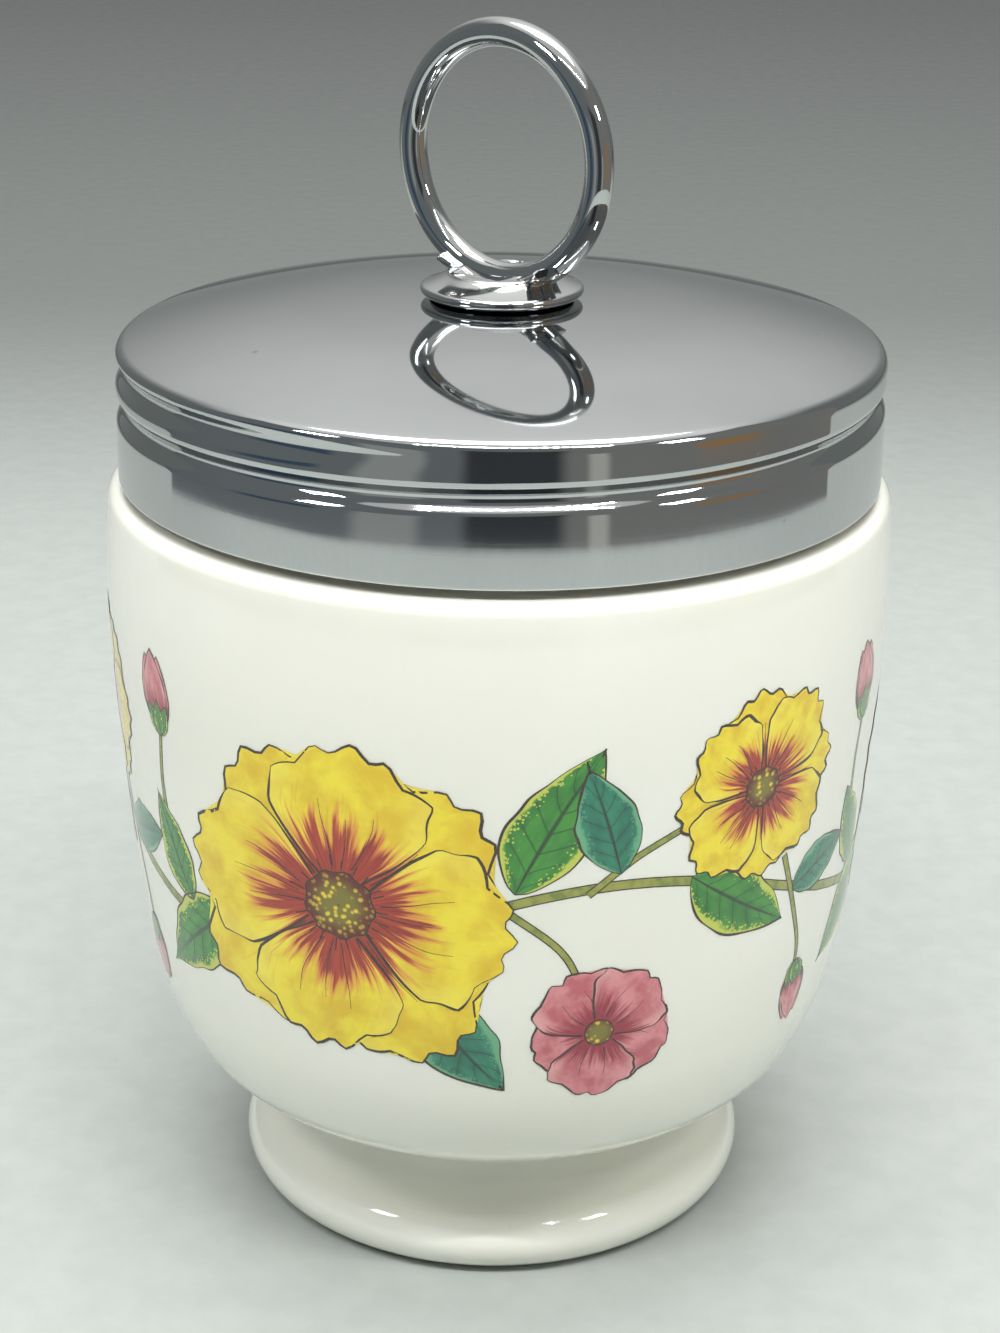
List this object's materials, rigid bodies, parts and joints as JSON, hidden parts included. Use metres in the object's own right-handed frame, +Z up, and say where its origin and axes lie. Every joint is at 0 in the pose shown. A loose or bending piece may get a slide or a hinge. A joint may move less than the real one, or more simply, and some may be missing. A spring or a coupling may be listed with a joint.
{
  "type": "porcelain egg coddler",
  "caption": "Round glazed porcelain cup on a flared foot with a threaded neck, closed by a domed chrome screw lid that carries an upright lifting ring.",
  "frame": {"origin": "centre of the plane that the foot's bearing ring rests on", "axes": "+Z up along the axis of the cup and the lid; -Y towards the picture's viewpoint; +X to the viewer's right"},
  "size_m": [0.0646, 0.0646, 0.1],
  "materials": {
    "porcelain": "gloss",
    "lid_chrome": "polished",
    "ring_base_chrome": "polished",
    "ring_chrome": "polished",
    "washer_steel": "satin"
  },
  "bodies": {
    "cup_body": {"cup": "porcelain"},
    "lid_carrier": {"backing_washer": "washer_steel"},
    "lid": {"lid_shell": "lid_chrome", "ring_base": "ring_base_chrome", "lifting_ring": "ring_chrome"}
  },
  "joints": [
    {"name": "lid_rise", "type": "slide", "parent": "cup_body", "child": "lid_carrier", "axis": [0, 0, 1], "range_m": [0, 0.012]},
    {"name": "lid_turn", "type": "hinge", "parent": "lid_carrier", "child": "lid", "pos_m": [0, 0, 0.0781], "axis": [0, 0, 1], "range_deg": [0, 1440]}
  ],
  "couplings": [
    {"joint": "lid_rise", "follows": "lid_turn", "m_per_rad": 0.00047746}
  ]
}
